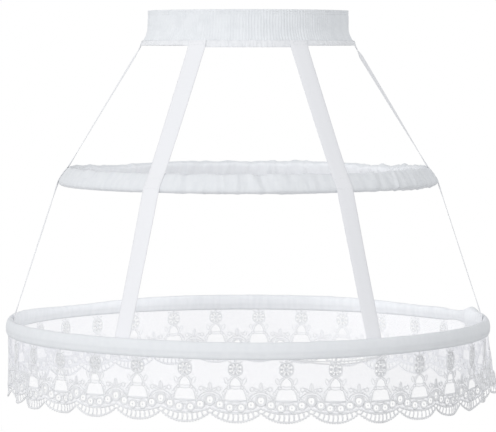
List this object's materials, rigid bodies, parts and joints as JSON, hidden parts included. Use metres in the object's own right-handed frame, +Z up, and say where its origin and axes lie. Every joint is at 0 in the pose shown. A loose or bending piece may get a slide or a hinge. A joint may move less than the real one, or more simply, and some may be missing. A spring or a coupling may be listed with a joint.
{
  "type": "crinoline cage",
  "caption": "Round crinoline cage with a ribbed elastic waistband, hanging tapes, boned hoops in gathered casings and a scalloped lace hem, worn under a skirt to hold it out.",
  "frame": {"origin": "on the axis of the cage, at half the height of the elastic waistband", "axes": "+Z up along the axis of the waistband and hoops, -Y to the front of the cage, +X to the right of the picture"},
  "size_m": [0.4847, 0.4848, 0.3811],
  "materials": {
    "elastic": "ribbed woven elastic",
    "casing_cloth": "plain woven cotton",
    "tape": "smooth woven tape",
    "lace": "openwork lace",
    "bone": "smooth coated flat spring",
    "joiner": "plain pressed sleeve"
  },
  "bodies": {
    "root": {"waist_elastic": "elastic", "waist_binding": "casing_cloth", "tape_front_left": "tape", "tape_front_right": "tape", "tape_side_left": "tape", "tape_side_right": "tape", "tape_back_left": "tape", "tape_back_right": "tape", "middle_casing": "casing_cloth", "middle_bone": "bone", "middle_joiner": "joiner", "lower_casing": "casing_cloth", "lower_bone": "bone", "lower_joiner": "joiner", "lace_trim": "lace"}
  },
  "joints": []
}
